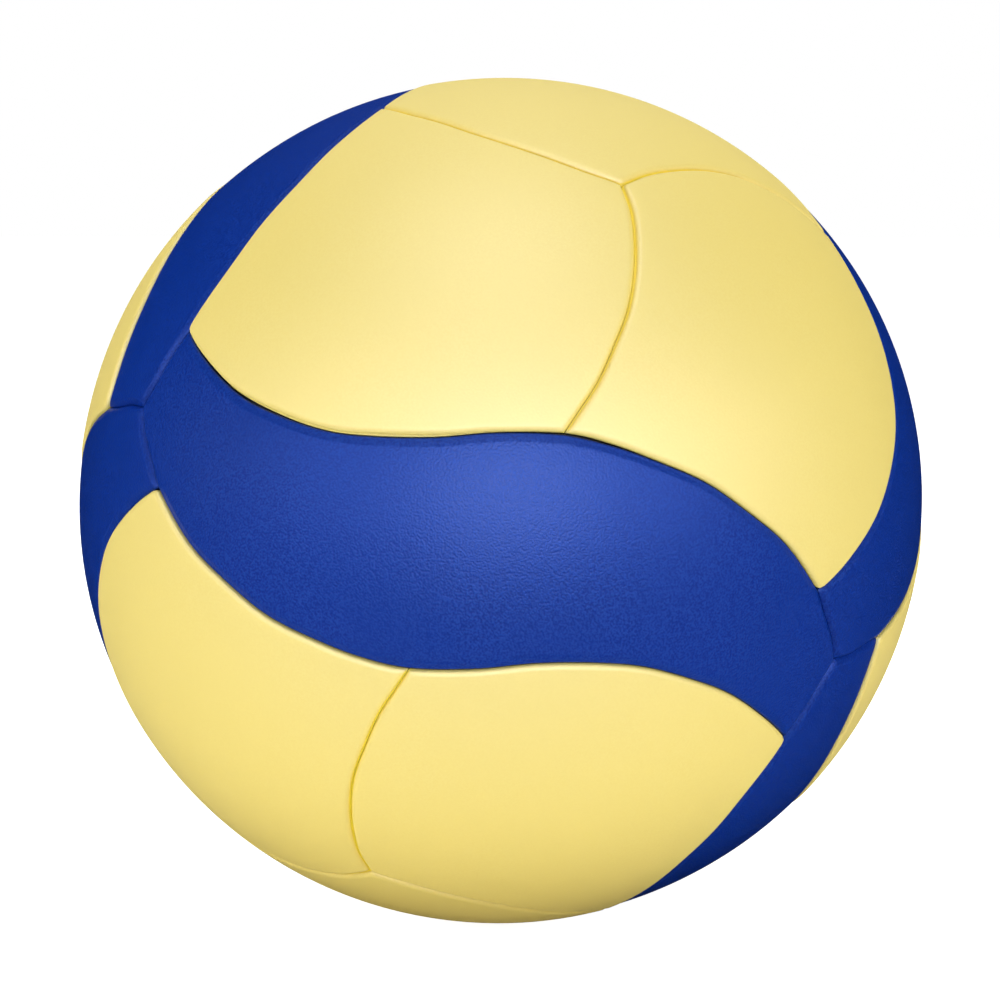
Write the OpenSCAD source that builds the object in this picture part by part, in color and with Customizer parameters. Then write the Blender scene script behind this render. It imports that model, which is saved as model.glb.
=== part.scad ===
// Inflatable volleyball with eighteen glued foam panels.
// Six S-shaped blue strips lie on the edges of a tetrahedron. Each of its four yellow
// corners is covered by three kite-shaped panels. The ball's centre is the origin, the
// front strip faces -Y and the inflation valve is in the rear strip, on +Y.

/* [Ball] */
// Outside diameter over the yellow panels
ball_d = 210; // [180:1:230]
// Angle by which the front strip falls to the right
strip_tilt = 20; // [0:1:45]

/* [Panels] */
// Thickness of the foam panels
panel_t = 3.5; // [2.5:0.1:5]
// Depth of the rounded shoulder at a panel's edge
shoulder_h = 1.5; // [0.6:0.1:2]
// Width of the rounded shoulder at a panel's edge
shoulder_w = 2.2; // [1.5:0.1:5]
// Gap between neighbouring panels
seam_gap = 0.3; // [0.1:0.05:0.8]
// How much lower the blue strips lie than the yellow panels
strip_drop = 0.4; // [0:0.05:0.8]

/* [Layers] */
// Thickness of the moulded rubber carcass
carcass_t = 0.8; // [0.5:0.1:1.5]
// Thickness of the wound nylon thread layer
winding_t = 0.6; // [0.4:0.1:1.5]
// Thickness of the rubber bladder
bladder_t = 0.8; // [0.5:0.1:1.5]
// Glue line between two layers
glue_t = 0.1; // [0.05:0.05:0.2]

/* [Valve] */
// Diameter of the valve's head, which shows in the rear strip
head_d = 8; // [7:0.1:10]
// How far the head's face lies below the strip's face
head_recess = 0.6; // [0.2:0.1:1.2]
// Clearance between the valve's head and the layers round it
head_gap = 0.15; // [0.05:0.05:0.3]
// Rounding chamfer at the mouth of the strip's valve hole
hole_chamfer = 0.8; // [0.3:0.1:1.5]
// Diameter of the valve's flange inside the bladder
flange_d = 26; // [20:1:32]
// Thickness of the valve's flange
flange_t = 1.2; // [0.8:0.1:2]
// Diameter of the patch between the bladder and the flange
patch_d = 36; // [33:1:45]
// Thickness of the patch
patch_t = 0.8; // [0.5:0.1:1.5]
// Diameter of the valve's boot inside the ball
boot_d = 12; // [10:0.5:14]
// Thickness of the boot's closed end
boot_end_t = 2; // [1:0.1:4]
// Diameter of the replaceable valve core
core_d = 5; // [4.5:0.1:6]
// Length of the valve core
core_l = 17; // [15:0.5:22]
// Clearance between the core and its housing
core_gap = 0.05; // [0.02:0.01:0.1]
// Diameter of the inflation needle's channel
needle_d = 2.4; // [2:0.1:2.6]
// Length of the needle channel's straight wall
needle_l = 12; // [8:0.5:13]
// Diameter of the funnel that guides the needle in
funnel_d = 3.8; // [3.4:0.1:4]
// Depth of the funnel
funnel_l = 1; // [0.5:0.1:1.5]

/* [Hidden] */
// Overrun of every cut past the face that it opens
overrun = 1;
// Facets round a full turn of the spheres and bores
turn_fn = 180;

// Panel seams, as shares of the angle from a strip's middle to its end: first along the
// strip towards its right end, then across it. The strip's upper edge runs from the tip
// at its left end, and its right tip follows from the symmetry.
edge_left_shares = [
    [-0.945, 0.21], [-0.845, 0.175], [-0.695, 0.135], [-0.57, 0.125], [-0.44, 0.13],
    [-0.33, 0.155], [-0.2, 0.2], [-0.07, 0.26], [0.075, 0.31]
];
edge_right_shares = [
    [0.19, 0.325], [0.31, 0.325], [0.44, 0.315], [0.57, 0.28], [0.7, 0.235]
];
// Seam between two yellow panels, from the yellow corner down to the strip's edge
kite_shares = [
    [0, 1], [0.065, 0.925], [0.105, 0.84], [0.13, 0.75], [0.14, 0.65],
    [0.13, 0.55], [0.115, 0.45], [0.095, 0.38]
];
// Seam between two blue strips, from the blue corner up to the left tip
strip_end_shares = [[-1, 0], [-0.98, 0.055], [-0.97, 0.105], [-0.96, 0.155]];

// Segments along each part of a long seam, and along each short seam
long_n = 12;
short_n = 3;
// Places of the shoulder's rings across its width, and the last ring's place in it
ring_shares = [0, 0.12, 0.4, 1];
ring_last = len(ring_shares) - 1;

// Angle from a strip's middle to the corner at its end
half_arc = acos(1 / sqrt(3));
// Directions of the front strip's middle, its right end and its upper edge
middle_dir = [0, -1, 0];
along_dir = [cos(strip_tilt), 0, -sin(strip_tilt)];
across_dir = [sin(strip_tilt), 0, cos(strip_tilt)];
// Middles of the strips at the right and at the top
right_dir = (along_dir + across_dir) / sqrt(2);
top_dir = (across_dir - along_dir) / sqrt(2);

// Radii of the layers, from the outside in
ball_r = ball_d / 2;
strip_r = ball_r - strip_drop;
panel_in_r = ball_r - panel_t;
carcass_r = panel_in_r - glue_t;
carcass_in_r = carcass_r - carcass_t;
winding_r = carcass_in_r - glue_t;
winding_in_r = winding_r - winding_t;
bladder_r = winding_in_r - glue_t;
bladder_in_r = bladder_r - bladder_t;
patch_r = bladder_in_r - glue_t;
patch_in_r = patch_r - patch_t;
flange_r = patch_in_r - glue_t;
flange_in_r = flange_r - flange_t;

// The valve's stack, measured from the ball's centre
hole_r = head_d / 2 + head_gap;
head_top = strip_r - head_recess;
core_low = head_top - core_l;
pocket_low = core_low - core_gap;
boot_low = pocket_low - boot_end_t;
channel_top = head_top - funnel_l;
channel_low = channel_top - needle_l;

function unit(v) = v / norm(v);

// A vector turned about an axis by the right-hand rule
function turned(v, axis, angle) =
    v * cos(angle) + cross(axis, v) * sin(angle) + axis * (axis * v) * (1 - cos(angle));

// Direction on the unit sphere of a place given as shares
function dir(place) =
    let (u = place[0] * half_arc, v = place[1] * half_arc)
    cos(v) * (cos(u) * middle_dir + sin(u) * along_dir) + sin(v) * across_dir;

// Shares of a direction on the unit sphere
function place_of(v) =
    [atan2(v * along_dir, v * middle_dir), asin(v * across_dir)] / half_arc;

// Point of a smooth curve through a list of places; t counts the places passed
function curve_at(list, t) =
    let (
        last = len(list) - 1,
        i = min(floor(t), last - 1),
        f = t - i,
        p1 = list[i],
        p2 = list[i + 1],
        p0 = i > 0 ? list[i - 1] : 2 * p1 - p2,
        p3 = i < last - 1 ? list[i + 2] : 2 * p2 - p1
    )
    p1 + f * ((p2 - p0) + f * ((2 * p0 - 5 * p1 + 4 * p2 - p3)
        + f * (3 * p1 - p0 - 3 * p2 + p3))) / 2;

// Directions along the part of a curve from one place to another, in n segments
function seam(list, from, to, n) =
    [for (i = [0:n]) dir(curve_at(list, from + (to - from) * i / n))];

function reversed(list) = [for (i = [len(list) - 1:-1:0]) list[i]];
function all_turned(list, axis, angle) = [for (v = list) turned(v, axis, angle)];
function without_last(list) = [for (i = [0:len(list) - 2]) list[i]];

// Corners of the tetrahedron that the pattern follows
blue_corner = dir([-1, 0]);
yellow_corner = dir([0, 1]);
left_tip = edge_left_shares[0];
right_tip = -place_of(turned(dir(left_tip), blue_corner, -120));

// The strip's upper edge, split where the seam between two yellow panels meets it
junction = len(edge_left_shares) - 1;
edge_shares = concat(edge_left_shares, edge_right_shares, [right_tip]);
edge_left = seam(edge_shares, 0, junction, long_n);
edge_right = seam(edge_shares, junction, len(edge_shares) - 1, long_n);
edge_whole = concat(without_last(edge_left), edge_right);
kite_line_shares = concat(kite_shares, [edge_left_shares[junction]]);
kite_seam = seam(kite_line_shares, 0, len(kite_line_shares) - 1, long_n);
end_line_shares = concat(strip_end_shares, [left_tip]);
end_up = seam(end_line_shares, 0, len(end_line_shares) - 1, short_n);
end_down = all_turned(end_up, blue_corner, -120);

// Outlines of the two kinds of panel, as four sides in turn, anticlockwise from outside
blue_sides = [
    reversed(all_turned(edge_whole, middle_dir, 180)),
    concat(
        without_last(reversed(all_turned(end_up, middle_dir, 180))),
        all_turned(end_down, middle_dir, 180)
    ),
    reversed(edge_whole),
    concat(without_last(reversed(end_up)), end_down)
];
yellow_sides = [
    kite_seam,
    edge_right,
    all_turned(edge_left, yellow_corner, 120),
    reversed(all_turned(kite_seam, yellow_corner, 120))
];

// A closed outline on the unit sphere, moved inwards by a distance on the ball
function inset(loop, distance) =
    let (n = len(loop))
    [for (i = [0:n - 1])
        let (
            p = loop[i],
            n1 = unit(cross(p, p - loop[(i + n - 1) % n])),
            n2 = unit(cross(p, loop[(i + 1) % n] - p)),
            m = unit(n1 + n2),
            angle = distance / (m * n1) / ball_r * 180 / PI
        )
        unit(p * cos(angle) + m * sin(angle))];

// Depth of the shoulder below the panel's face, as a quarter of an ellipse
function shoulder_depth(share) = shoulder_h * (1 - sqrt(1 - pow(1 - share, 2)));

// Point between the four sides of a closed outline, for a grid of n0 by n1 cells
function between(loop, n0, n1, i, j) =
    let (
        n = len(loop),
        s = i / n0,
        t = j / n1,
        low = loop[i],
        high = loop[2 * n0 + n1 - i],
        right = loop[n0 + j],
        left = loop[(n - j) % n],
        corners = (1 - s) * (1 - t) * loop[0] + s * (1 - t) * loop[n0]
            + s * t * loop[n0 + n1] + (1 - s) * t * loop[2 * n0 + n1]
    )
    unit((1 - t) * low + t * high + (1 - s) * left + s * right - corners);

// Sum of a list of vectors
function total(list) = [for (axis = [0:2]) [for (v = list) 1] * [for (v = list) v[axis]]];

// Panel cut from a wedge with its point in the ball's centre. The face is a grid inside
// rings that follow the outline, and the inside is a true sphere, turned so that its own
// poles lie away from the panel.
module panel(sides, face_r) {
    outline = [for (side = sides, p = without_last(side)) p];
    facing = unit(total(outline));
    n = len(outline);
    n0 = len(sides[0]) - 1;
    n1 = len(sides[1]) - 1;
    rings = [for (share = ring_shares) inset(outline, seam_gap / 2 + share * shoulder_w)];
    inner = rings[ring_last];
    inner_start = ring_last * n;
    grid_start = (ring_last + 1) * n;
    apex = grid_start + (n0 - 1) * (n1 - 1);
    points = concat(
        [for (k = [0:ring_last], p = rings[k]) p * (face_r - shoulder_depth(ring_shares[k]))],
        [for (i = [1:n0 - 1], j = [1:n1 - 1]) between(inner, n0, n1, i, j) * face_r],
        [[0, 0, 0]]
    );
    function at(i, j) =
        j == 0 ? inner_start + i
        : i == n0 ? inner_start + n0 + j
        : j == n1 ? inner_start + 2 * n0 + n1 - i
        : i == 0 ? inner_start + n - j
        : grid_start + (i - 1) * (n1 - 1) + j - 1;
    function halves(a, b, c, d) = [[a, c, b], [a, d, c]];
    faces = concat(
        [for (k = [0:ring_last - 1], m = [0:n - 1])
            let (next = (m + 1) % n)
            each halves(k * n + m, k * n + next, (k + 1) * n + next, (k + 1) * n + m)],
        [for (i = [0:n0 - 1], j = [0:n1 - 1])
            each halves(at(i, j), at(i + 1, j), at(i + 1, j + 1), at(i, j + 1))],
        [for (m = [0:n - 1]) [m, (m + 1) % n, apex]]
    );
    difference() {
        polyhedron(points, faces);
        rotate([0, asin(facing[2]), atan2(facing[1], facing[0]) + 180])
            sphere(r = panel_in_r, $fn = turn_fn);
    }
}

// Turns the front strip onto another strip, or an upper panel onto another corner
module half_turned(axis) {
    rotate(180, axis) children();
}

module third_turned(count) {
    rotate(120 * count, yellow_corner) children();
}

module blue_panel() {
    color([0.13, 0.26, 0.66]) panel(blue_sides, strip_r);
}

module yellow_panel() {
    color([0.95, 0.85, 0.42]) panel(yellow_sides, ball_r);
}

// Everything about the valve is drawn along +Z and laid along +Y
module along_valve() {
    rotate([-90, 0, 0]) children();
}

module blue_panel_rear() {
    mouth_low = strip_r - hole_chamfer;
    difference() {
        half_turned(right_dir) blue_panel();
        along_valve() {
            translate([0, 0, panel_in_r - overrun])
                cylinder(h = panel_t + 2 * overrun, r = hole_r, $fn = turn_fn);
            translate([0, 0, mouth_low])
                cylinder(
                    h = 2 * hole_chamfer, r1 = hole_r, r2 = hole_r + 2 * hole_chamfer,
                    $fn = turn_fn
                );
        }
    }
}

// Closed spherical layer with a hole for the valve's head
module layer(outer_r, inner_r) {
    difference() {
        sphere(r = outer_r, $fn = turn_fn);
        sphere(r = inner_r, $fn = turn_fn);
        along_valve() cylinder(h = outer_r + overrun, r = hole_r, $fn = turn_fn);
    }
}

// Round piece of a spherical layer, centred on the valve
module cap(outer_r, inner_r, width) {
    intersection() {
        difference() {
            sphere(r = outer_r, $fn = turn_fn);
            sphere(r = inner_r, $fn = turn_fn);
        }
        cylinder(h = outer_r + overrun, d = width, $fn = turn_fn);
    }
}

module rubber_carcass() {
    color([0.16, 0.16, 0.17]) layer(carcass_r, carcass_in_r);
}

module nylon_winding() {
    color([0.9, 0.9, 0.87]) layer(winding_r, winding_in_r);
}

module bladder() {
    color([0.1, 0.1, 0.11]) layer(bladder_r, bladder_in_r);
}

module bladder_patch() {
    color([0.22, 0.22, 0.24]) along_valve() difference() {
        cap(patch_r, patch_in_r, patch_d);
        cylinder(h = patch_r + overrun, r = hole_r, $fn = turn_fn);
    }
}

module valve_housing() {
    color([0.12, 0.12, 0.13]) along_valve() difference() {
        union() {
            cap(flange_r, flange_in_r, flange_d);
            translate([0, 0, boot_low])
                cylinder(h = flange_in_r - boot_low, d = boot_d, $fn = turn_fn);
            translate([0, 0, boot_low])
                cylinder(h = head_top - boot_low, d = head_d, $fn = turn_fn);
        }
        translate([0, 0, pocket_low])
            cylinder(
                h = head_top - pocket_low + overrun, d = core_d + 2 * core_gap,
                $fn = turn_fn
            );
    }
}

module valve_core() {
    color([0.2, 0.2, 0.21]) along_valve() difference() {
        translate([0, 0, core_low]) cylinder(h = core_l, d = core_d, $fn = turn_fn);
        translate([0, 0, channel_low])
            cylinder(h = needle_l + overrun, d = needle_d, $fn = turn_fn);
        translate([0, 0, channel_top])
            cylinder(h = funnel_l, d1 = needle_d, d2 = funnel_d, $fn = turn_fn);
        translate([0, 0, head_top]) cylinder(h = overrun, d = funnel_d, $fn = turn_fn);
    }
}

blue_panel();  // blue_panel_front
blue_panel_rear();
third_turned(1) blue_panel();  // blue_panel_right
half_turned(middle_dir) third_turned(1) blue_panel();  // blue_panel_left
third_turned(2) blue_panel();  // blue_panel_top
half_turned(middle_dir) third_turned(2) blue_panel();  // blue_panel_bottom
yellow_panel();  // yellow_panel_upper_1
third_turned(1) yellow_panel();  // yellow_panel_upper_2
third_turned(2) yellow_panel();  // yellow_panel_upper_3
half_turned(middle_dir) yellow_panel();  // yellow_panel_lower_1
half_turned(middle_dir) third_turned(1) yellow_panel();  // yellow_panel_lower_2
half_turned(middle_dir) third_turned(2) yellow_panel();  // yellow_panel_lower_3
half_turned(top_dir) yellow_panel();  // yellow_panel_left_1
half_turned(top_dir) third_turned(1) yellow_panel();  // yellow_panel_left_2
half_turned(top_dir) third_turned(2) yellow_panel();  // yellow_panel_left_3
half_turned(right_dir) yellow_panel();  // yellow_panel_right_1
half_turned(right_dir) third_turned(1) yellow_panel();  // yellow_panel_right_2
half_turned(right_dir) third_turned(2) yellow_panel();  // yellow_panel_right_3
rubber_carcass();
nylon_winding();
bladder();
bladder_patch();
valve_housing();
valve_core();
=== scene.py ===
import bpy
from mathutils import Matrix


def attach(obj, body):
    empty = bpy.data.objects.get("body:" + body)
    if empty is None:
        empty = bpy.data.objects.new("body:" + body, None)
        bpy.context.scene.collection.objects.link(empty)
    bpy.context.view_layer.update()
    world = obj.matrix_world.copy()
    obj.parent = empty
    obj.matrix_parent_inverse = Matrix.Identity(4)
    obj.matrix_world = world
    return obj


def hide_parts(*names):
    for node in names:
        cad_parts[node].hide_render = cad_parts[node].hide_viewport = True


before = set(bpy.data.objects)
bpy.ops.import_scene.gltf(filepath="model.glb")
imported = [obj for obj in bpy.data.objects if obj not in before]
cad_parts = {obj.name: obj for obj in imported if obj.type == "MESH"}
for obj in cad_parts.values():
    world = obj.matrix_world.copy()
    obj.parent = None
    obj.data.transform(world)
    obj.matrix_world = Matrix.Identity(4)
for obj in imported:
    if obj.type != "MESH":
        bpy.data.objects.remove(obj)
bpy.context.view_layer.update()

# A size 5 volleyball dressed for the picture. Eighteen foam panels and the valve take the
# place of their CAD nodes, and the layers inside keep theirs. A line on the ball is an
# array of directions from the ball's centre, one to a row.

import math

import bpy
import numpy as np
from mathutils import Vector

MM = 0.001

# The ball's sizes, as in the CAD model
BALL_R = 105 * MM
STRIP_TILT = 20
PANEL_T = 3.5 * MM
STRIP_DROP = 0.4 * MM
STRIP_R = BALL_R - STRIP_DROP
PANEL_IN_R = BALL_R - PANEL_T

# Panel seams, as shares of the angle from a strip's middle to its end: first along the
# strip, then across it
EDGE_LEFT_SHARES = [
    (-0.945, 0.21), (-0.845, 0.175), (-0.695, 0.135), (-0.57, 0.125), (-0.44, 0.13),
    (-0.33, 0.155), (-0.2, 0.2), (-0.07, 0.26), (0.075, 0.31),
]
EDGE_RIGHT_SHARES = [(0.19, 0.325), (0.31, 0.325), (0.44, 0.315), (0.57, 0.28), (0.7, 0.235)]
KITE_SHARES = [
    (0, 1), (0.065, 0.925), (0.105, 0.84), (0.13, 0.75), (0.14, 0.65),
    (0.13, 0.55), (0.115, 0.45), (0.095, 0.38),
]
STRIP_END_SHARES = [(-1, 0), (-0.98, 0.055), (-0.97, 0.105), (-0.96, 0.155)]

# Segments along each part of a long seam and along each half of a strip's end; how many
# times finer the seams are drawn before they are shared out; and how many segments from a
# corner two sides are searched for where they cross
LONG_N = 72
SHORT_N = 18
FINE = 3
CORNER_N = 10

# Half the gap between panels of two colours and of one; how far the first wanders, over
# what length, and how much it opens at a loose spot; and how far a seam between panels of
# one colour leans to one side of its groove, over what length
GAP_HALF = 0.09 * MM
ALIKE_GAP_HALF = 0.045 * MM
GAP_WANDER = 0.03 * MM
GAP_WAVE = 60 * MM
LOOSE_GAP = 0.2 * MM
LEAN = 0.16 * MM
LEAN_WAVE = 40 * MM

# Places on the front strip's frame, as shares, with how far they reach: where a panel's
# edge has come a little loose, and where the rim of a yellow panel shows
LOOSE_SPOTS = [((0.13, 0.32), 7 * MM), ((-0.8, 0.18), 9 * MM), ((-0.65, 0.145), 7 * MM)]
RIM_SPOTS = [((-0.52, 0.125), 13 * MM), ((-0.28, 0.165), 12 * MM)]

# How the hand-laid panels sit off the even pattern: a place on the front strip's frame as
# shares, and the shift there along the strip and across it
DRIFT_REACH = 28 * MM
DRIFT = [
    ((-0.8, 0.35), (-1.7 * MM, -0.4 * MM)),
    ((-1.1, -0.05), (-1.1 * MM, -0.6 * MM)),
    ((-0.5, 0.0), (0.1 * MM, -0.8 * MM)),
    ((-0.25, 0.25), (1.0 * MM, 1.1 * MM)),
    ((0.2, 0.75), (-0.2 * MM, -0.8 * MM)),
    ((0.15, 1.15), (1.2 * MM, -1.6 * MM)),
    ((0.75, 0.1), (1.0 * MM, -0.5 * MM)),
    ((0.95, -0.35), (0.9 * MM, -0.8 * MM)),
    ((0.45, -0.75), (1.5 * MM, 1.2 * MM)),
    ((-0.1, -0.65), (1.2 * MM, 0.8 * MM)),
    ((0.35, -0.35), (-0.6 * MM, 1.3 * MM)),
    ((1.1, 0.3), (-1.6 * MM, 0.0)),
]

# Rounding of the panels' corners: where yellow panels meet, where a yellow one ends
# between two strips, and on the strips; and the one that they all ease to inwards, and how
# far from the seam they reach it
MEETING_SOFTNESS = 0.5 * MM
TIP_SOFTNESS = 1.2 * MM
STRIP_SOFTNESS = 0.5 * MM
INNER_SOFTNESS = 0.4 * MM
SOFTNESS_W = 4 * MM

# The edge of a yellow panel: a thin rim, a crease above it, and a full round shoulder. The
# rim's outer corner is given by distance from the seam and depth below the rim
RIM_W = 0.38 * MM
RIM_DEPTH = 1.15 * MM
RIM_CORNER = [(0.0 * MM, 0.25 * MM), (0.06 * MM, 0.02 * MM)]
CREASE_W = 0.2 * MM
CREASE_DEPTH = 1.4 * MM
SHOULDER_W = 1.35 * MM
SHOULDER_H = 1.0 * MM
SHOULDER_SHARES = (0.0, 0.02, 0.06, 0.13, 0.22, 0.34, 0.48, 0.64, 0.82, 1.0)
AFTER_SHOULDER_W = 0.6 * MM

# How much of the rim and crease is left beside a yellow panel and beside a blue one
RIM_BY_YELLOW_SHARE = 0.5
RIM_BY_BLUE_SHARE = 0.08

# The edge of a blue strip: distance from the seam and depth, of a small lip and a bevel
STRIP_EDGE = [
    (0.0 * MM, 1.05 * MM), (0.05 * MM, 0.85 * MM), (0.14 * MM, 0.68 * MM),
    (0.28 * MM, 0.55 * MM), (0.42 * MM, 0.47 * MM), (0.6 * MM, 0.43 * MM),
    (0.8 * MM, 0.405 * MM), (1.0 * MM, 0.35 * MM), (1.35 * MM, 0.23 * MM),
    (1.7 * MM, 0.11 * MM), (2.0 * MM, 0.03 * MM), (2.25 * MM, 0.005 * MM), (2.7 * MM, 0.0),
]

# The slope that a blue strip's edge has beside another blue one, and over how many points
# to each side it comes in at its ends
VALLEY_W = 1.5 * MM
VALLEY_H = 1.1 * MM
VALLEY_POWER = 1.6
VALLEY_EASE = 3

# Width of the ring between a panel's edge and the grid of its face, and of the one round
# the grid of its inner face
FACE_RING_W = 1.4 * MM
UNDER_RING_W = 2 * MM

# How far a panel's offset sides are lengthened so that they still cross at the corners
OVERRUN = 1.5 * MM

# Unevenness of the glued foam, over what length, and how much the ball is longer along
# one diagonal
UNEVEN = 0.08 * MM
UNEVEN_WAVE = 70 * MM
OVAL = 0.44 * MM

# Waves that add up to an unevenness: how many, between which shares of the one asked for
# their frequencies lie, and what their sum is divided by
WAVE_N = 9
WAVE_SHARES = (0.6, 1.5)
WAVE_SUM = 5

# Camera, as fitted to the photograph's outline and seams
CAMERA_AZIMUTH = 2.225
CAMERA_ELEVATION = 6.67
CAMERA_DISTANCE = 7.1 * BALL_R
OUTLINE_PX = 423.3
CENTRE_PX = (500.73, 500.46)
FRAME_PX = 1000


# Geometry of the pattern

def unit(v):
    return v / np.linalg.norm(v, axis=-1, keepdims=True)


tilt = math.radians(STRIP_TILT)
HALF_ARC = math.acos(1 / math.sqrt(3))
MIDDLE = np.array([0.0, -1.0, 0.0])
ALONG = np.array([math.cos(tilt), 0.0, -math.sin(tilt)])
ACROSS = np.array([math.sin(tilt), 0.0, math.cos(tilt)])
RIGHT = (ALONG + ACROSS) / math.sqrt(2)
TOP = (ACROSS - ALONG) / math.sqrt(2)


def direction(places):
    """Directions on the unit sphere of places given as shares."""
    u, v = np.asarray(places, float).T[:, :, None] * HALF_ARC
    return np.cos(v) * (np.cos(u) * MIDDLE + np.sin(u) * ALONG) + np.sin(v) * ACROSS


def place_of(d):
    """Place of a direction, as shares."""
    return np.array([math.atan2(d @ ALONG, d @ MIDDLE), math.asin(d @ ACROSS)]) / HALF_ARC


def turn_matrix(axis, degrees):
    """Matrix that turns row vectors about an axis by the right-hand rule."""
    x, y, z = axis
    cross = np.array([[0, -z, y], [z, 0, -x], [-y, x, 0]])
    a = math.radians(degrees)
    return (np.eye(3) + math.sin(a) * cross + (1 - math.cos(a)) * cross @ cross).T


def seam(places, start, end, count):
    """Smooth seam through places, from one of them to another, in count segments."""
    p = np.asarray(places, float)
    p = np.vstack([2 * p[0] - p[1], p, 2 * p[-1] - p[-2]])
    t = np.linspace(start, end, count + 1)
    i = np.minimum(t.astype(int), len(p) - 4)
    f = (t - i)[:, None]
    p0, p1, p2, p3 = p[i], p[i + 1], p[i + 2], p[i + 3]
    slope = p2 - p0
    bend = 2 * p0 - 5 * p1 + 4 * p2 - p3
    twist = 3 * p1 - p0 - 3 * p2 + p3
    return direction(p1 + f * (slope + f * (bend + f * twist)) / 2)


def near(line, spots):
    """How near points of a line are to any of a few spots, from 0 to 1."""
    found = np.zeros(len(line))
    for place, reach in spots:
        apart = np.arccos(np.clip(line @ direction([place])[0], -1, 1)) * BALL_R
        found = np.maximum(found, np.exp(-(apart / reach) ** 2 / 2))
    return found


def drifted(line):
    """A line on the unit sphere, shifted as the hand-laid panels are."""
    shift = np.zeros_like(line)
    for place, (along, across) in DRIFT:
        share = near(line, [(place, DRIFT_REACH)])[:, None]
        shift += share * (along * ALONG + across * ACROSS)
    return unit(line + shift / BALL_R)


class Side:
    """One side of a panel: its line, how many segments it gets, how round the corner at
    its start is, whether the neighbour is of the same colour, and which way it leans."""

    def __init__(self, line, count, corner, alike, lean):
        self.line = line
        self.count = count
        self.corner = corner
        self.alike = alike
        self.lean = lean

    def along(self, line):
        """The same side along another line."""
        return Side(line, self.count, self.corner, self.alike, self.lean)

    def turned(self, turn):
        return self.along(self.line @ turn)

    def shifted(self):
        return self.along(drifted(self.line))


BLUE_CORNER = direction([(-1, 0)])[0]
YELLOW_CORNER = direction([(0, 1)])[0]
HALF_TURN = turn_matrix(MIDDLE, 180)
THIRD_TURN = turn_matrix(YELLOW_CORNER, 120)
NEXT_STRIP_TURN = turn_matrix(BLUE_CORNER, -120)


def long_edge():
    """A strip's long edge, in two parts that meet where the seam of two kites ends."""
    left_tip = direction(EDGE_LEFT_SHARES[:1])[0]
    right_tip = -place_of(left_tip @ NEXT_STRIP_TURN)
    places = EDGE_LEFT_SHARES + EDGE_RIGHT_SHARES + [tuple(right_tip)]
    junction = len(EDGE_LEFT_SHARES) - 1
    left = seam(places, 0, junction, FINE * LONG_N)
    right = seam(places, junction, len(places) - 1, FINE * LONG_N)
    return left, right


def blue_sides():
    """Sides of a blue panel, anticlockwise from outside."""
    left, right = long_edge()
    whole = np.vstack([left[:-1], right])
    places = STRIP_END_SHARES + EDGE_LEFT_SHARES[:1]
    end = seam(places, 0, len(places) - 1, FINE * SHORT_N)
    half = [
        Side(whole[::-1], 2 * LONG_N, STRIP_SOFTNESS, alike=False, lean=-1),
        Side(end[::-1], SHORT_N, STRIP_SOFTNESS, alike=True, lean=1),
        Side(end @ NEXT_STRIP_TURN, SHORT_N, STRIP_SOFTNESS, alike=True, lean=-1),
    ]
    return [side.turned(HALF_TURN) for side in half] + half


def yellow_sides():
    """Sides of a yellow panel, anticlockwise from outside."""
    left, right = long_edge()
    places = KITE_SHARES + EDGE_LEFT_SHARES[-1:]
    kite = seam(places, 0, len(places) - 1, FINE * LONG_N)
    return [
        Side(kite, LONG_N, MEETING_SOFTNESS, alike=True, lean=1),
        Side(right, LONG_N, MEETING_SOFTNESS, alike=False, lean=1),
        Side(left @ THIRD_TURN, LONG_N, TIP_SOFTNESS, alike=False, lean=1),
        Side((kite @ THIRD_TURN)[::-1], LONG_N, MEETING_SOFTNESS, alike=True, lean=-1),
    ]


BLUE_SIDES = blue_sides()
YELLOW_SIDES = yellow_sides()


def panel_turns():
    """Name, kind and turn of each of the eighteen panels, as in the CAD model."""
    third = [turn_matrix(YELLOW_CORNER, 120 * k) for k in range(3)]
    half = {
        "upper": np.eye(3), "lower": HALF_TURN,
        "left": turn_matrix(TOP, 180), "right": turn_matrix(RIGHT, 180),
    }
    found = [
        ("blue_panel_front", "blue", np.eye(3)),
        ("blue_panel_rear", "blue", half["right"]),
        ("blue_panel_right", "blue", third[1]),
        ("blue_panel_left", "blue", third[1] @ half["lower"]),
        ("blue_panel_top", "blue", third[2]),
        ("blue_panel_bottom", "blue", third[2] @ half["lower"]),
    ]
    for where, turn in half.items():
        for k in range(3):
            found.append((f"yellow_panel_{where}_{k + 1}", "yellow", third[k] @ turn))
    return found


def waves(directions, wavelength, seed):
    """Smooth unevenness from about -1 to 1, from a few seeded waves across space."""
    draw = np.random.RandomState(seed)
    heading = unit(draw.normal(size=(WAVE_N, 3))) * 2 * math.pi / wavelength * BALL_R
    heading *= draw.uniform(*WAVE_SHARES, size=(WAVE_N, 1))
    phase = draw.uniform(0, 2 * math.pi, size=WAVE_N)
    return np.cos(directions @ heading.T + phase).sum(axis=1) / WAVE_SUM


def moved_in(line, distance):
    """A line on the unit sphere, moved to its left by distances along it, and made a
    little longer at both ends so that it still crosses its neighbours."""
    inwards = unit(np.cross(line, np.gradient(line, axis=0)))
    angle = (distance / BALL_R)[:, None]
    moved = unit(line * np.cos(angle) + inwards * np.sin(angle))
    first = moved[:1] + unit(moved[:1] - moved[1:2]) * OVERRUN / BALL_R
    last = moved[-1:] + unit(moved[-1:] - moved[-2:-1]) * OVERRUN / BALL_R
    return unit(np.vstack([first, moved, last]))


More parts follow.
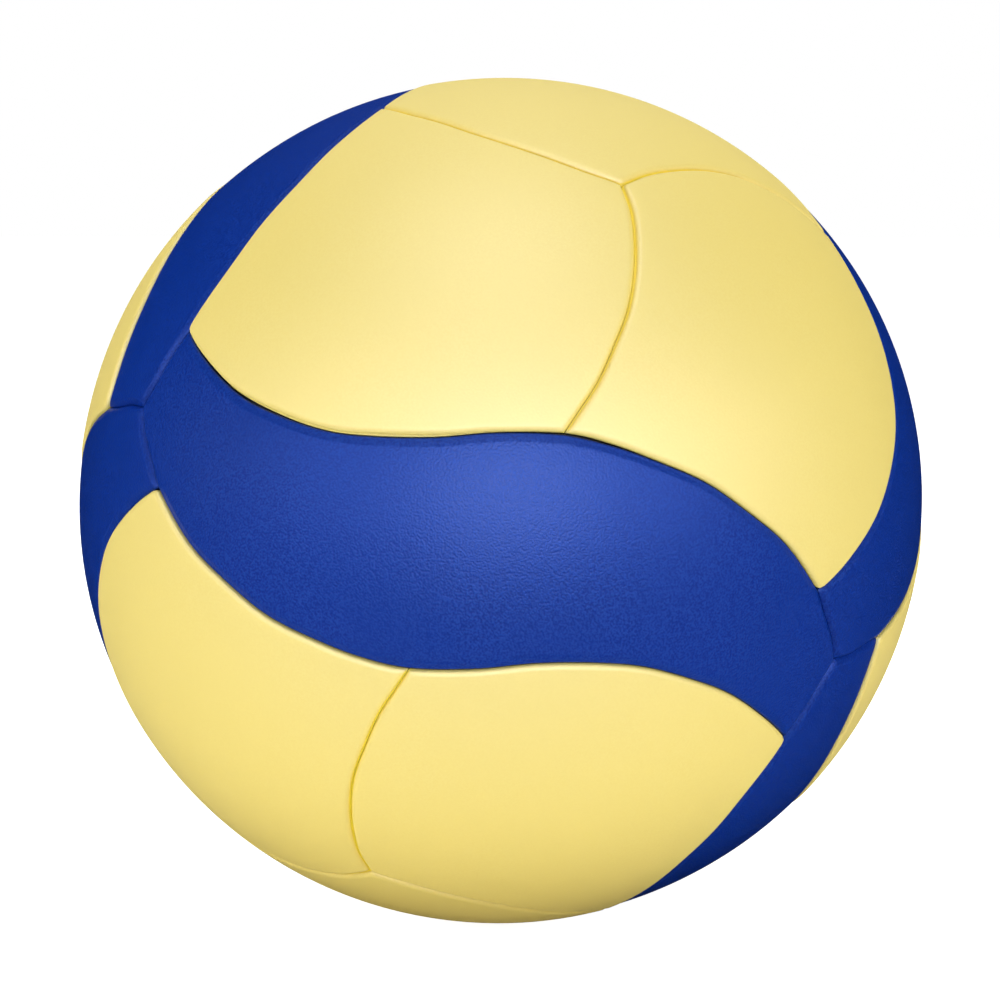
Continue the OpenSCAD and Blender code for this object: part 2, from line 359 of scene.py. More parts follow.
def crossing(a, b):
    """Where the end of line a meets the start of line b: the point, and the segment of
    each line that it lies on."""
    reach = min(len(a) // 2, len(b) // 2, CORNER_N * FINE)
    i = np.arange(len(a) - 1 - reach, len(a) - 1)[:, None]
    j = np.arange(reach)[None, :]
    turn_a = np.cross(a[i], a[i + 1])
    turn_b = np.cross(b[j], b[j + 1])
    x = np.cross(turn_a, turn_b)
    x = unit(x) * np.sign((x * a[i]).sum(axis=-1, keepdims=True))

    def within(start, end, turn):
        after = (np.cross(start, x) * turn).sum(axis=-1)
        before = (np.cross(x, end) * turn).sum(axis=-1)
        return (after >= 0) & (before >= 0)

    found = np.argwhere(within(a[i], a[i + 1], turn_a) & within(b[j], b[j + 1], turn_b))
    first, second = found[-1]
    return x[first, second], len(a) - 1 - reach + first, second


def shared_out(line, n):
    """Points spread evenly along a line, in n segments, without the last one."""
    way = np.concatenate([[0], np.cumsum(np.linalg.norm(np.diff(line, axis=0), axis=1))])
    at = np.linspace(0, way[-1], n + 1)[:-1]
    return unit(np.stack([np.interp(at, way, line[:, k]) for k in range(3)], axis=1))


def softened(loop, reach):
    """A closed outline with its corners rounded over a reach in metres, which may vary
    from point to point."""
    steps = np.linalg.norm(np.roll(loop, -1, axis=0) - loop, axis=1) * BALL_R
    way = np.concatenate([[0], np.cumsum(steps)])
    apart = np.abs(way[:-1, None] - way[None, :-1])
    apart = np.minimum(apart, way[-1] - apart)
    reach = np.broadcast_to(reach, len(loop))[:, None]
    weight = np.exp(-(apart / reach) ** 2 / 2) * (steps + np.roll(steps, 1))[None, :]
    return unit(weight @ loop)


def gap_beside(side, distance):
    """Half the gap along a side, as a ring at a distance from the seam has it."""
    if side.alike:
        lean = side.lean * LEAN * waves(side.line, LEAN_WAVE, seed=12)
        return ALIKE_GAP_HALF + lean * (1 - min(distance / RIM_W, 1))
    gap = GAP_HALF + GAP_WANDER * waves(side.line, GAP_WAVE, seed=11)
    return gap + LOOSE_GAP * near(side.line, LOOSE_SPOTS)


def rim_left(side):
    """Share of a yellow panel's rim and crease that is left along a side."""
    if side.alike:
        return RIM_BY_YELLOW_SHARE
    return np.maximum(near(side.line, RIM_SPOTS), RIM_BY_BLUE_SHARE)


class Outline:
    """Sides of a panel, from which a ring can be drawn at any distance inside them."""

    def __init__(self, sides, kind):
        self.sides = sides
        self.kind = kind
        self.n = sum(side.count for side in sides)
        softness = []
        for side, after in zip(sides, sides[1:] + sides[:1]):
            ease = (1 - np.cos(math.pi * np.arange(side.count) / side.count)) / 2
            softness.append(side.corner + (after.corner - side.corner) * ease)
        self.softness = np.concatenate(softness)
        self.alike = np.concatenate([np.full(side.count, float(side.alike)) for side in sides])
        steps = range(-VALLEY_EASE, VALLEY_EASE + 1)
        self.valley = sum(np.roll(self.alike, k) for k in steps) / len(steps)

    def line_inside(self, side, distance):
        """A side's line, moved to a distance inside the seam."""
        reach = distance + gap_beside(side, distance)
        if self.kind == "yellow":
            reach = reach - min(distance, RIM_W + CREASE_W) * (1 - rim_left(side))
        return moved_in(side.line, reach)

    def ring(self, distance):
        """Closed ring at a distance inside the seams."""
        lines = [self.line_inside(side, distance) for side in self.sides]
        meets = [crossing(lines[k - 1], lines[k]) for k in range(len(lines))]
        parts = []
        for k, line in enumerate(lines):
            start, _, first = meets[k]
            end, last, _ = meets[(k + 1) % len(lines)]
            whole = np.vstack([[start], line[first + 1:last + 1], [end]])
            parts.append(shared_out(whole, self.sides[k].count))
        keep = max(0, 1 - distance / SOFTNESS_W)
        softness = INNER_SOFTNESS + (self.softness - INNER_SOFTNESS) * keep
        return softened(np.vstack(parts), softness)


def between(loop, n0, n1):
    """Grid of directions between the four sides of a closed outline."""
    n = len(loop)
    s = (np.arange(n0 + 1) / n0)[:, None, None]
    t = (np.arange(n1 + 1) / n1)[None, :, None]
    low = loop[np.arange(n0 + 1)][:, None]
    high = loop[2 * n0 + n1 - np.arange(n0 + 1)][:, None]
    right = loop[n0 + np.arange(n1 + 1)][None]
    left = loop[(n - np.arange(n1 + 1)) % n][None]
    corners = ((1 - s) * (1 - t) * loop[0] + s * (1 - t) * loop[n0]
               + s * t * loop[n0 + n1] + (1 - s) * t * loop[2 * n0 + n1])
    return unit((1 - t) * low + t * high + (1 - s) * left + s * right - corners)


class Shell:
    """Points and faces of one closed mesh, gathered ring by ring."""

    def __init__(self):
        self.points = []
        self.marks = []
        self.faces = []
        self.count = 0

    def add(self, points, depth=0.0, alike=0.0):
        """Add points with their depth below the face and whether the next panel is of the
        same colour, and give their first number."""
        start = self.count
        self.points.append(points)
        self.marks.append(np.stack([np.broadcast_to(depth / MM, len(points)),
                                    np.broadcast_to(alike, len(points))], axis=1))
        self.count += len(points)
        return start

    def band(self, outer, inner, n):
        """Join two rings of n points; the inner one lies to the left of the outer."""
        for m in range(n):
            k = (m + 1) % n
            self.faces.append((outer + m, outer + k, inner + k, inner + m))

    def halving(self, outer, inner, n):
        """Join a ring of n points, given by number, to one of half as many."""
        h = n // 2
        for k in range(h):
            a, b, c = outer[2 * k], outer[2 * k + 1], outer[(2 * k + 2) % n]
            d, e = inner[k], inner[(k + 1) % h]
            self.faces += [(a, b, d), (b, e, d), (b, c, e)]

    def grid(self, ring, loop, n0, n1, radius, hole):
        """Fill a ring with a grid of n0 by n1 cells. A hole, given as cells to each side
        of the middle, is left out, and its edge is returned."""
        n = len(loop)
        inside = between(loop, n0, n1)[1:-1, 1:-1].reshape(-1, 3)
        start = self.add(inside * radius(inside)[:, None])

        def at(i, j):
            """Number of the point where two lines of the grid cross."""
            if j == 0:
                return ring + i
            if i == n0:
                return ring + n0 + j
            if j == n1:
                return ring + 2 * n0 + n1 - i
            if i == 0:
                return ring + n - j
            return start + (i - 1) * (n1 - 1) + j - 1

        i0, i1, j0, j1 = n0 // 2 - hole, n0 // 2 + hole, n1 // 2 - hole, n1 // 2 + hole
        for i in range(n0):
            for j in range(n1):
                if not (i0 <= i < i1 and j0 <= j < j1):
                    self.faces.append((at(i, j), at(i + 1, j), at(i + 1, j + 1), at(i, j + 1)))
        return ([at(i, j0) for i in range(i0, i1)] + [at(i1, j) for j in range(j0, j1)]
                + [at(i, j1) for i in range(i1, i0, -1)] + [at(i0, j) for j in range(j1, j0, -1)])

    def cap(self, ring, n, loop, cells, radius, depth, hole):
        """Close a ring of n points by a loop of half as many and a grid within it, and
        give the edge of the grid's hole."""
        start = self.add(loop * radius(loop)[:, None], depth)
        self.halving(range(ring, ring + n), range(start, start + n // 2), n)
        return self.grid(start, loop, *cells, radius, hole)

    def flip(self, since):
        """Turn over the faces added since a count of faces."""
        self.faces[since:] = [face[::-1] for face in self.faces[since:]]

    def mesh(self, name):
        """Blender mesh of what was gathered, without points that no face uses."""
        points = np.vstack(self.points)
        marks = np.vstack(self.marks).astype(np.float32)
        used = np.zeros(len(points), bool)
        used[[k for face in self.faces for k in face]] = True
        number = np.cumsum(used) - 1
        faces = [tuple(int(number[k]) for k in face) for face in self.faces]
        mesh = bpy.data.meshes.new(name)
        mesh.from_pydata(points[used].tolist(), [], faces)
        for mark, values in zip(("edge_depth", "meets_alike"), marks[used].T):
            attribute = mesh.attributes.new(mark, "FLOAT", "POINT")
            attribute.data.foreach_set("value", np.ascontiguousarray(values))
        mesh.polygons.foreach_set("use_smooth", [True] * len(mesh.polygons))
        mesh.update()
        return mesh


def yellow_edge():
    """Distance from the seam and depth of each ring of a yellow panel's edge."""
    rings = [(distance, RIM_DEPTH + below) for distance, below in RIM_CORNER]
    rings += [(RIM_W, RIM_DEPTH), (RIM_W + CREASE_W / 2, CREASE_DEPTH)]
    start = RIM_W + CREASE_W
    for share in SHOULDER_SHARES:
        fall = SHOULDER_H * (1 - math.sqrt(1 - (1 - share) ** 2))
        rings.append((start + share * SHOULDER_W, fall))
    rings.append((start + SHOULDER_W + AFTER_SHOULDER_W, 0.0))
    return rings


def ball_radius(directions, face_r):
    """Radius of a panel's face, a little uneven as glued foam is."""
    x, _, z = directions.T
    uneven = UNEVEN * waves(directions, UNEVEN_WAVE, seed=5)
    return face_r - UNEVEN + uneven + OVAL * 2 * x * z


def add_edge(shell, outline, edge, radius):
    """Rings of a panel's edge, from the seam to the face, and the first number of each."""
    starts = []
    for distance, depth in edge:
        loop = outline.ring(distance)
        slope = VALLEY_H * max(0, 1 - distance / VALLEY_W) ** VALLEY_POWER
        deeper = outline.valley * (slope - depth) * (outline.kind == "blue")
        height = radius(loop) - (depth + deeper)
        starts.append(shell.add(loop * height[:, None], depth, outline.alike))
    for outer, inner in zip(starts, starts[1:]):
        shell.band(outer, inner, outline.n)
    return starts


def panel_mesh(name, kind, turn, hole):
    """Closed mesh of one panel: rounded face, side wall and inner face."""
    sides = BLUE_SIDES if kind == "blue" else YELLOW_SIDES
    face_r = STRIP_R if kind == "blue" else BALL_R
    edge = STRIP_EDGE if kind == "blue" else yellow_edge()
    outline = Outline([side.turned(turn).shifted() for side in sides], kind)
    n = outline.n
    n1 = 2 * SHORT_N if kind == "blue" else LONG_N
    n0 = n // 2 - n1
    cells = (n0 // 2, n1 // 2)

    def face_radius(directions):
        return ball_radius(directions, face_r)

    def inner_radius(directions):
        return np.full(len(directions), PANEL_IN_R)

    shell = Shell()
    rings = add_edge(shell, outline, edge, face_radius)
    loop = outline.ring(edge[-1][0] + FACE_RING_W)[::2]
    rim_above = shell.cap(rings[-1], n, loop, cells, face_radius, 0, hole)

    foot = shell.add(outline.ring(0) * PANEL_IN_R, PANEL_T, outline.alike)
    shell.band(foot, rings[0], n)
    since = len(shell.faces)
    loop = outline.ring(UNDER_RING_W)[::2]
    rim_below = shell.cap(foot, n, loop, cells, inner_radius, PANEL_T, hole)
    shell.flip(since)
    if hole:
        valve_hole(shell, rim_above, rim_below)
    return shell.mesh(name)


# Valve, drawn along its own axis, which lies along +Y

HEAD_R = 4.0 * MM
HEAD_DROP = 0.6 * MM
HEAD_TOP = STRIP_R - HEAD_DROP
HOLE_GAP = 0.15 * MM
HOLE_R = HEAD_R + HOLE_GAP
CORE_R = 2.5 * MM
CORE_L = 17 * MM
CORE_GAP = 0.05 * MM
POCKET_R = CORE_R + CORE_GAP
NEEDLE_R = 1.2 * MM
NEEDLE_L = 12 * MM
FUNNEL_R = 1.9 * MM
FUNNEL_L = 1 * MM
FLANGE_R = 13 * MM
FLANGE_TOP = 98 * MM
FLANGE_T = 1.2 * MM
BOOT_R = 6 * MM
BOOT_END_T = 2 * MM

# How far the flange has bent down where the head begins and at its own rim
HEAD_BEND = 0.1 * MM
FLANGE_BEND = 0.87 * MM

# Fillets of the housing, of its head, of the core, and where the two meet at the top
HOUSING_FILLET = 0.3 * MM
HEAD_FILLET = 0.5 * MM
CORE_FILLET = 0.2 * MM
MOUTH_FILLET = 0.15 * MM

# Mouth of the strip's valve hole: distance from the hole's wall and depth
HOLE_MOUTH = [
    (2.0 * MM, 0.0), (1.4 * MM, 0.01 * MM), (1.0 * MM, 0.06 * MM), (0.65 * MM, 0.17 * MM),
    (0.38 * MM, 0.34 * MM), (0.18 * MM, 0.58 * MM), (0.05 * MM, 0.9 * MM), (0.0, 1.3 * MM),
]

# Cells of the strip's grid from the middle to the hole's edge, segments around the valve
# and in a fillet, and the bend in degrees from which an edge stays sharp
VALVE_HOLE_CELLS = 3
VALVE_SEGMENTS = 96
FILLET_SEGMENTS = 4
SHARP_BEND = 50


def valve_hole(shell, above, below):
    """Rounded hole for the valve, from the edge of the face's hole to the inner face's."""
    def angles(ring):
        found = np.vstack(shell.points)[ring]
        return np.unwrap(np.arctan2(found[:, 2], found[:, 0]))

    def doubled(a):
        closed = np.append(a, a[0] + round((a[-1] - a[0]) / (2 * math.pi)) * 2 * math.pi)
        return np.interp(np.arange(2 * len(a)) / 2, np.arange(len(a) + 1), closed)

    def circle(a, radius, length):
        side = np.stack([np.cos(a), np.sin(a)], axis=1) * radius
        return np.stack([side[:, 0], np.full(len(a), length), side[:, 1]], axis=1)

    n = 2 * len(above)
    a = doubled(angles(above))
    face_r = ball_radius(np.array([[0.0, 1.0, 0.0]]), STRIP_R)[0]
    rings = []
    for beyond, depth in HOLE_MOUTH:
        radius = HOLE_R + beyond
        length = math.sqrt(face_r ** 2 - radius ** 2) - depth
        rings.append(shell.add(circle(a, radius, length), depth))
    for outer, inner in zip(rings, rings[1:]):
        shell.band(outer, inner, n)
    since = len(shell.faces)
    shell.halving(range(rings[0], rings[0] + n), above, n)
    shell.flip(since)
    low = doubled(angles(below))
    foot = shell.add(circle(low, HOLE_R, math.sqrt(PANEL_IN_R ** 2 - HOLE_R ** 2)), PANEL_T)
    shell.band(rings[-1], foot, n)
    shell.halving(range(foot, foot + n), below, n)


def lathed(name, profile):
    """Closed mesh turned about +Y from points of radius and length; the profile runs
    from the axis outside round to the axis again."""
    n = VALVE_SEGMENTS
    a = np.arange(n) / n * 2 * math.pi
    points = []
    rings = []
    count = 0
    for radius, length in profile:
        size = n if radius > 0 else 1
        turn = a[:size]
        points.append(np.stack([radius * np.sin(turn), np.full(size, length),
                                radius * np.cos(turn)], axis=1))
        rings.append([count + k % size for k in range(n)])
        count += size
    faces = []
    for low, high in zip(rings, rings[1:]):
        for k in range(n):
            m = (k + 1) % n
            corners = [low[k], low[m], high[m], high[k]]
            # On the axis two of the corners are one point
            faces.append(tuple(dict.fromkeys(corners)))
    mesh = bpy.data.meshes.new(name)
    mesh.from_pydata(np.vstack(points).tolist(), [], faces)
    mesh.polygons.foreach_set("use_smooth", [True] * len(mesh.polygons))
    mesh.set_sharp_from_angle(angle=math.radians(SHARP_BEND))
    return mesh


def rounded(profile):
    """Points of a profile given by radius, length and fillet, with its corners rounded."""
    points = [row[:2] for row in profile]
    done = [points[0]]
    for before, corner, after, row in zip(points, points[1:], points[2:], profile[1:]):
        fillet = row[2]
        if fillet == 0:
            done.append(corner)
            continue
        here, back, on = Vector(corner), Vector(before), Vector(after)
        enter = here + (back - here).normalized() * fillet
        leave = here + (on - here).normalized() * fillet
        for k in range(FILLET_SEGMENTS + 1):
            t = k / FILLET_SEGMENTS
            done.append(tuple(enter * (1 - t) ** 2 + here * 2 * t * (1 - t) + leave * t * t))
    done.append(points[-1])
    return done


def housing_mesh():
    """Head, flange and boot of the valve in one piece, with the core's pocket."""
    pocket_low = HEAD_TOP - CORE_L - CORE_GAP
    boot_low = pocket_low - BOOT_END_T
    flange_low = FLANGE_TOP - FLANGE_T
    return lathed("valve_housing_skin", rounded([
        (0, boot_low, 0),
        (BOOT_R, boot_low, HOUSING_FILLET),
        (BOOT_R, flange_low, HOUSING_FILLET),
        (FLANGE_R, flange_low - FLANGE_BEND, HOUSING_FILLET),
        (FLANGE_R, FLANGE_TOP - FLANGE_BEND, HOUSING_FILLET),
        (HEAD_R, FLANGE_TOP - HEAD_BEND, HOUSING_FILLET),
        (HEAD_R, HEAD_TOP, HEAD_FILLET),
        (POCKET_R, HEAD_TOP, MOUTH_FILLET),
        (POCKET_R, pocket_low, 0),
        (0, pocket_low, 0),
    ]))


def core_mesh():
    """Core of the valve, with the funnel and the channel that take the needle."""
    low = HEAD_TOP - CORE_L
    channel_top = HEAD_TOP - FUNNEL_L
    return lathed("valve_core_skin", rounded([
        (0, low, 0),
        (CORE_R, low, CORE_FILLET),
        (CORE_R, HEAD_TOP, MOUTH_FILLET),
        (FUNNEL_R, HEAD_TOP, CORE_FILLET),
        (NEEDLE_R, channel_top, CORE_FILLET),
        (NEEDLE_R, channel_top - NEEDLE_L, 0),
        (0, channel_top - NEEDLE_L, 0),
    ]))


# Materials

# Scales of the materials' noises, in cells to the metre
FOAM_GRAIN_SCALE = 2000
FOAM_CLOUD_SCALE = 45
RUBBER_BLOOM_SCALE = 260
RUBBER_PORE_SCALE = 1800
THREAD_SCALE = 320

# The ranges of a noise that are drawn out over a material's colours and roughness
NOISE_RANGE = (0.3, 0.7)
CLOUD_RANGE = (0.35, 0.65)
BLOOM_RANGE = (0.35, 0.7)

# Foam: how much of the speckles its clouds show, the depths in mm over which its colour
# turns into the painted shade and bounce light of the seam and into the painted shade of
# the wall, how far its roughness varies, and its sheen
CLOUD_SHARES = (0.4, 0.9)
PAINTED_SEAM_DEPTHS_MM = (0.6, 1.1)
PAINTED_WALL_DEPTHS_MM = (1.45, 2.0)
FOAM_ROUGHNESS_VARIES = 0.05
FOAM_SPECULAR = 1.0

# Rubber: how far its roughness varies, and how deep and how strong its pores are
RUBBER_ROUGHNESS_VARIES = 0.06
PORE_DEPTH = 0.04 * MM
PORE_STRENGTH = 0.3

# Thread: how crooked it lies, and how deep, strong and rough it is
THREAD_DISTORTION = 2.5
THREAD_DEPTH = 0.15 * MM
THREAD_STRENGTH = 0.6
THREAD_ROUGHNESS = 0.7


def new_material(name):
    material = bpy.data.materials.new(name)
    material.use_nodes = True
    tree = material.node_tree
    return material, tree, tree.nodes["Principled BSDF"]


def add_node(tree, kind, inputs=None, **settings):
    """Node with its settings, and with inputs that are values or sockets to link."""
    node = tree.nodes.new(kind)
    for key, value in settings.items():
        setattr(node, key, value)
    for key, value in (inputs or {}).items():
        if isinstance(value, bpy.types.NodeSocket):
            tree.links.new(value, node.inputs[key])
        else:
            node.inputs[key].default_value = value
    return node


def srgb(red, green, blue):
    """Linear colour with alpha from display values of 0 to 255."""
    def linear(c):
        c /= 255
        return c / 12.92 if c <= 0.04045 else ((c + 0.055) / 1.055) ** 2.4
    return (linear(red), linear(green), linear(blue), 1.0)


def object_place(tree):
    """Place on the object, which the noises are drawn from."""
    return tree.nodes.new("ShaderNodeTexCoord").outputs["Object"]


def noise(tree, where, scale, detail):
    return add_node(tree, "ShaderNodeTexNoise", {
        "Vector": where, "Scale": scale, "Detail": detail,
    }).outputs["Fac"]


def spread(tree, value, old, new=(0, 1)):
    """Value whose old range, given as low and high, is drawn out over a new one."""
    return add_node(tree, "ShaderNodeMapRange", {
        "Value": value, "From Min": old[0], "From Max": old[1],
        "To Min": new[0], "To Max": new[1],
    }).outputs["Result"]


def mixed(tree, factor, a, b):
    """Mix of two colours. A mix node keeps the sockets of its other kinds of value, so the
    colours' are found by number."""
    node = add_node(tree, "ShaderNodeMix", data_type="RGBA")
    for number, value in ((0, factor), (6, a), (7, b)):
        if isinstance(value, bpy.types.NodeSocket):
            tree.links.new(value, node.inputs[number])
        else:
            node.inputs[number].default_value = value
    return node.outputs[2]


def raised(tree, height, strength, distance):
    """Normal of a surface with bumps."""
    return add_node(tree, "ShaderNodeBump", {
        "Height": height, "Strength": strength, "Distance": distance,
    }).outputs["Normal"]


def around(middle, varies):
    """Range around a middle value."""
    return (middle - varies, middle + varies)


def attribute(tree, name):
    """Value that Shell.mesh has stored at the points of a panel."""
    return add_node(tree, "ShaderNodeAttribute", attribute_name=name).outputs["Fac"]


def foam_material(name, face, dark, light, groove_painted_light, rim_painted_shade, wall_painted_shade, grain, roughness, tint):
    """Grained soft skin over foam. Where it rolls into a seam it is painted with the groove
    colour beside a panel of its own colour, and with the rim colour beside another. These are
    painted shade, except the yellow groove colour, which is painted bounce light that
    saturates the yellow. The side wall below is painted dark with the wall colour, as
    painted shade."""
    material, tree, shader = new_material(name)
    where = object_place(tree)
    fine = noise(tree, where, FOAM_GRAIN_SCALE, detail=0)
    clouds = noise(tree, where, FOAM_CLOUD_SCALE, detail=3)
    speckled = mixed(tree, spread(tree, fine, NOISE_RANGE), dark, light)
    colour = mixed(tree, spread(tree, clouds, CLOUD_RANGE, CLOUD_SHARES), face, speckled)
    # Painted shade along the seams, and in yellow grooves painted bounce light that saturates the
    # colour
    painted_seam_light = mixed(tree, attribute(tree, "meets_alike"), rim_painted_shade, groove_painted_light)
    depth = attribute(tree, "edge_depth")
    colour = mixed(tree, spread(tree, depth, PAINTED_SEAM_DEPTHS_MM), colour, painted_seam_light)
    # Painted shade on the side walls deep in the gaps between panels
    colour = mixed(tree, spread(tree, depth, PAINTED_WALL_DEPTHS_MM), colour, wall_painted_shade)
    rough = spread(tree, fine, NOISE_RANGE, around(roughness, FOAM_ROUGHNESS_VARIES))
    tree.links.new(colour, shader.inputs["Base Color"])
    tree.links.new(rough, shader.inputs["Roughness"])
    tree.links.new(raised(tree, fine, 1, grain), shader.inputs["Normal"])
    shader.inputs["Specular IOR Level"].default_value = FOAM_SPECULAR
    shader.inputs["Specular Tint"].default_value = tint
    return material


def rubber_material(name, colour, light, roughness):
    """Moulded rubber with a faint bloom and fine pores."""
    material, tree, shader = new_material(name)
    where = object_place(tree)
    bloom = noise(tree, where, RUBBER_BLOOM_SCALE, detail=4)
    pores = noise(tree, where, RUBBER_PORE_SCALE, detail=2)
    bloomed = mixed(tree, spread(tree, bloom, BLOOM_RANGE), colour, light)
    rough = spread(tree, bloom, NOISE_RANGE, around(roughness, RUBBER_ROUGHNESS_VARIES))
    bumps = raised(tree, pores, PORE_STRENGTH, PORE_DEPTH)
    tree.links.new(bloomed, shader.inputs["Base Color"])
    tree.links.new(rough, shader.inputs["Roughness"])
    tree.links.new(bumps, shader.inputs["Normal"])
    return material


def thread_material(name, colour, shadow):
    """Turns of thin thread laid over each other in two directions."""
    material, tree, shader = new_material(name)
    where = object_place(tree)
    lays = [
        add_node(tree, "ShaderNodeTexWave", {
            "Vector": where, "Scale": THREAD_SCALE, "Distortion": THREAD_DISTORTION,
        }, bands_direction=across).outputs["Fac"]
        for across in ("X", "Z")
    ]
    upper = add_node(tree, "ShaderNodeMath", {0: lays[0], 1: lays[1]}, operation="MAXIMUM")
    height = upper.outputs[0]
    bumps = raised(tree, height, THREAD_STRENGTH, THREAD_DEPTH)
    tree.links.new(mixed(tree, height, shadow, colour), shader.inputs["Base Color"])
    tree.links.new(bumps, shader.inputs["Normal"])
    shader.inputs["Roughness"].default_value = THREAD_ROUGHNESS
    return material


# Blue: the groove, rim and wall colours are painted shade, darker than the face
blue_foam = foam_material(
    "blue_foam", face=srgb(0, 47, 143), dark=srgb(0, 37, 130), light=srgb(10, 58, 157),
    groove_painted_light=srgb(0, 41, 124), rim_painted_shade=srgb(0, 41, 124), wall_painted_shade=srgb(4, 12, 38), grain=0.065 * MM,
    roughness=0.41, tint=(0.11, 0.165, 0.42, 1),
)
# Yellow: the groove colour is painted bounce light, more saturated than the face; the rim and
# wall colours are painted shade
yellow_foam = foam_material(
    "yellow_foam", face=srgb(243, 220, 115), dark=srgb(242, 218, 111),
    light=srgb(244, 222, 119), groove_painted_light=srgb(250, 229, 42), rim_painted_shade=srgb(232, 214, 100),
    wall_painted_shade=srgb(130, 112, 40), grain=0.02 * MM, roughness=0.56, tint=(1, 1, 1, 1),
)
carcass_rubber = rubber_material("carcass_rubber", srgb(24, 24, 27), srgb(34, 34, 38), 0.7)
bladder_rubber = rubber_material("bladder_rubber", srgb(18, 18, 20), srgb(27, 27, 30), 0.5)
patch_rubber = rubber_material("patch_rubber", srgb(46, 46, 50), srgb(60, 60, 64), 0.6)
valve_rubber = rubber_material("valve_rubber", srgb(26, 26, 29), srgb(38, 38, 42), 0.5)
core_rubber = rubber_material("core_rubber", srgb(40, 40, 44), srgb(54, 54, 58), 0.45)
nylon_thread = thread_material("nylon_thread", srgb(232, 230, 222), srgb(150, 148, 140))


# Pieces

def add_piece(name, mesh, material, node):
    """Piece of the visual model that takes the place of a CAD node."""
    piece = bpy.data.objects.new(name, mesh)
    bpy.context.scene.collection.objects.link(piece)
    mesh.materials.append(material)
    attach(piece, "root")
    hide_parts(node)
    return piece


def make_panels():
    for node, kind, turn in panel_turns():
        hole = VALVE_HOLE_CELLS if node == "blue_panel_rear" else 0
        mesh = panel_mesh(f"{node}_skin", kind, turn, hole)
        material = blue_foam if kind == "blue" else yellow_foam
        piece = add_piece(f"{node}_skin", mesh, material, node)


def make_valve():
    add_piece("valve_housing_skin", housing_mesh(), valve_rubber,
              "valve_housing")
    add_piece("valve_core_skin", core_mesh(), core_rubber, "valve_core")


def dress_nodes():
    """Finish of the CAD nodes that stay as they are."""
    finish = {
        "rubber_carcass": carcass_rubber, "nylon_winding": nylon_thread,
        "bladder": bladder_rubber, "bladder_patch": patch_rubber,
    }
    for node, material in finish.items():
        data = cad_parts[node].data
        data.materials.clear()
        data.materials.append(material)


# Stage, light and camera

# Softboxes: name, azimuth and elevation in degrees, width and height in metres, watts, and
# whether the lamp gives only sheen or only plain light, as polarised studio lamps do
SOFTBOX_DISTANCE = 1.3
SOFTBOXES = [
    ("sheen_middle", 4, 8, 1.0, 1.0, 27, "sheen"),
    ("sheen_left", -34, 14, 1.0, 1.0, 10, "sheen"),
    ("sheen_right", 38, 12, 1.0, 1.0, 11, "sheen"),
    ("sheen_top", 0, 72, 1.0, 1.0, 9, "sheen"),
    ("left", -70, 13, 1.0, 0.3, 5.3, "plain"),
    ("right", 72, 13, 1.0, 0.3, 5.3, "plain"),
    ("top", 0, 75, 1.0, 1.0, 7.1, "plain"),
    ("back", 180, 50, 1.2, 1.2, 8, "plain"),
]

# Lamps that shine straight down on the floor in front of the ball, so that their light
# reaches it mostly by way of the floor: name, place from the ball's centre in metres, the
# beam's spread in degrees, and watts
TABLE_LAMPS = [
    ("table_far", (0, -0.6, 0.3), 60, 0.3),
    ("table_near", (0, -0.22, -0.05), 120, 0.45),
]
TABLE_LAMP_W = 0.9
TABLE_LAMP_H = 0.22

# Floor: its side in metres and cells along it, its colour and roughness, and how much it
# is lifted towards white where the camera sees it
FLOOR_SIDE = 12
FLOOR_CELLS = 8
FLOOR_COLOUR = (0.88, 0.88, 0.88, 1)
FLOOR_ROUGHNESS = 0.9
FLOOR_LIFT = 0.92

# World: how strongly it lights the ball, and how bright the camera sees it
WORLD_LIGHT = 0.25
WORLD_BRIGHTNESS = 1.0

WHITE = (1, 1, 1, 1)

# Camera: width of its sensor, and the nearest distance in metres that it sees
SENSOR_MM = 36
CLIP_START = 0.05


def toward(azimuth, elevation):
    """Direction from the ball's centre; azimuth 0 is -Y, and grows towards +X."""
    a, e = math.radians(azimuth), math.radians(elevation)
    return Vector((math.sin(a) * math.cos(e), -math.cos(a) * math.cos(e), math.sin(e)))


def aimed_at_ball(thing, place):
    thing.location = place
    thing.rotation_euler = (-place).to_track_quat("-Z", "Y").to_euler()


def elliptical_lamp(name, width, height, watts):
    data = bpy.data.lights.new(name, "AREA")
    data.shape = "ELLIPSE"
    data.size = width
    data.size_y = height
    data.energy = watts
    lamp = bpy.data.objects.new(name, data)
    bpy.context.scene.collection.objects.link(lamp)
    return lamp


def add_softboxes():
    for name, azimuth, elevation, width, height, watts, gives in SOFTBOXES:
        lamp = elliptical_lamp(name, width, height, watts)
        lamp.visible_diffuse = gives == "plain"
        lamp.visible_glossy = gives == "sheen"
        aimed_at_ball(lamp, toward(azimuth, elevation) * SOFTBOX_DISTANCE)


def add_table_light():
    for name, place, beam, watts in TABLE_LAMPS:
        lamp = elliptical_lamp(name, TABLE_LAMP_W, TABLE_LAMP_H, watts)
        lamp.data.spread = math.radians(beam)
        lamp.location = place


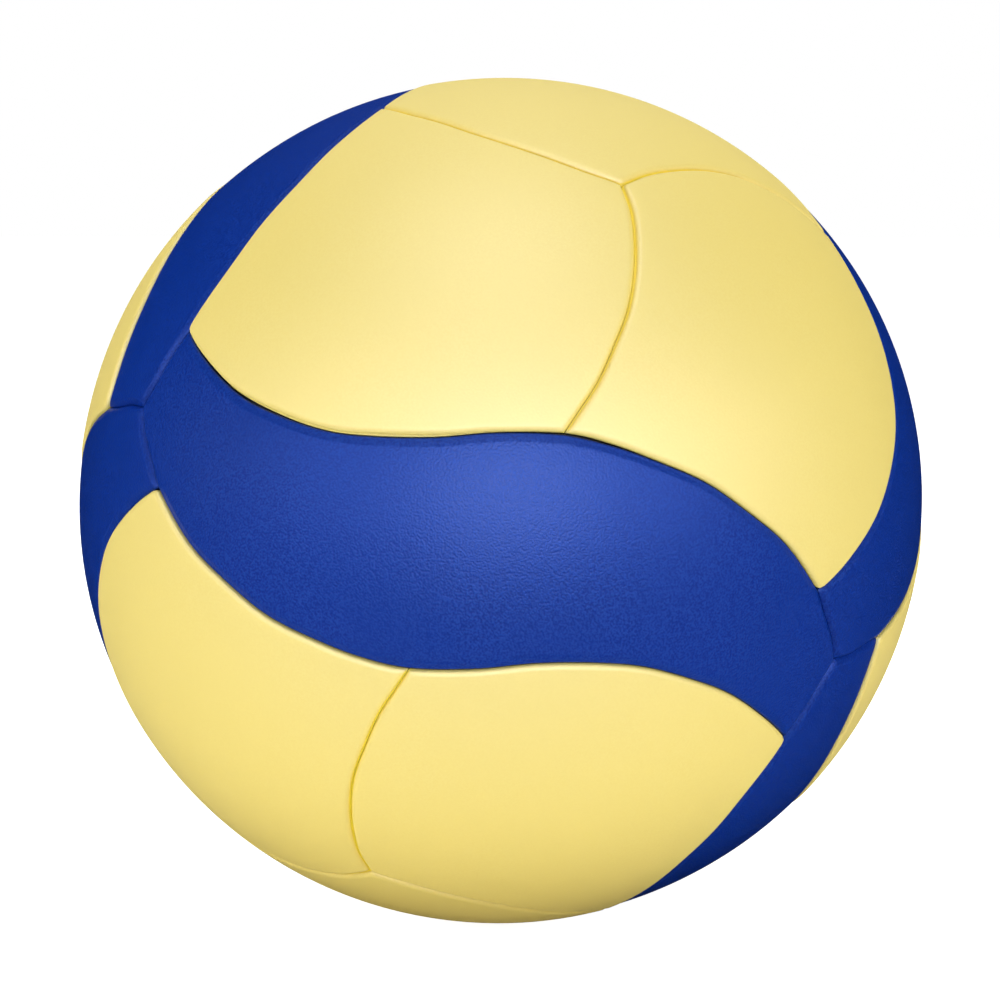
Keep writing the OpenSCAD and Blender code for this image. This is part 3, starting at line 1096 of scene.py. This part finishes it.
def pale_floor():
    """Plain floor that the ball stands on, whiter to the camera than its light makes it."""
    material, tree, shader = new_material("pale_floor")
    shader.inputs["Base Color"].default_value = FLOOR_COLOUR
    shader.inputs["Roughness"].default_value = FLOOR_ROUGHNESS
    shader.inputs["Emission Color"].default_value = WHITE
    rays = tree.nodes.new("ShaderNodeLightPath").outputs["Is Camera Ray"]
    lift = add_node(tree, "ShaderNodeMath", {0: rays, 1: FLOOR_LIFT}, operation="MULTIPLY")
    tree.links.new(lift.outputs[0], shader.inputs["Emission Strength"])
    bpy.ops.mesh.primitive_grid_add(x_subdivisions=FLOOR_CELLS, y_subdivisions=FLOOR_CELLS,
                                    size=FLOOR_SIDE, location=(0, 0, -BALL_R))
    floor = bpy.context.object
    floor.name = "floor"
    floor.data.materials.append(material)
    floor.visible_glossy = False


def white_world():
    """World that lights the ball softly and that the camera sees as white."""
    world = bpy.data.worlds.new("studio")
    bpy.context.scene.world = world
    world.cycles_visibility.glossy = False
    world.use_nodes = True
    tree = world.node_tree
    tree.nodes.clear()
    rays = tree.nodes.new("ShaderNodeLightPath").outputs["Is Camera Ray"]
    choice = tree.nodes.new("ShaderNodeMixShader")
    tree.links.new(rays, choice.inputs[0])
    for number, strength in ((1, WORLD_LIGHT), (2, WORLD_BRIGHTNESS)):
        light = add_node(tree, "ShaderNodeBackground", {"Color": WHITE, "Strength": strength})
        tree.links.new(light.outputs[0], choice.inputs[number])
    output = tree.nodes.new("ShaderNodeOutputWorld")
    tree.links.new(choice.outputs[0], output.inputs["Surface"])


def photo_camera():
    """Camera that sees the ball as the photograph's does."""
    data = bpy.data.cameras.new("camera")
    ratio = CAMERA_DISTANCE / BALL_R
    focal_px = OUTLINE_PX * math.sqrt(ratio ** 2 - 1)
    data.sensor_width = SENSOR_MM
    data.sensor_fit = "HORIZONTAL"
    data.lens = SENSOR_MM * focal_px / FRAME_PX
    data.shift_x = 0.5 - CENTRE_PX[0] / FRAME_PX
    data.shift_y = CENTRE_PX[1] / FRAME_PX - 0.5
    data.clip_start = CLIP_START
    camera = bpy.data.objects.new("camera", data)
    bpy.context.scene.collection.objects.link(camera)
    aimed_at_ball(camera, toward(CAMERA_AZIMUTH, CAMERA_ELEVATION) * CAMERA_DISTANCE)
    bpy.context.scene.camera = camera


make_panels()
make_valve()
dress_nodes()
pale_floor()
white_world()
add_softboxes()
add_table_light()
photo_camera()
bpy.context.scene.view_settings.view_transform = "Standard"
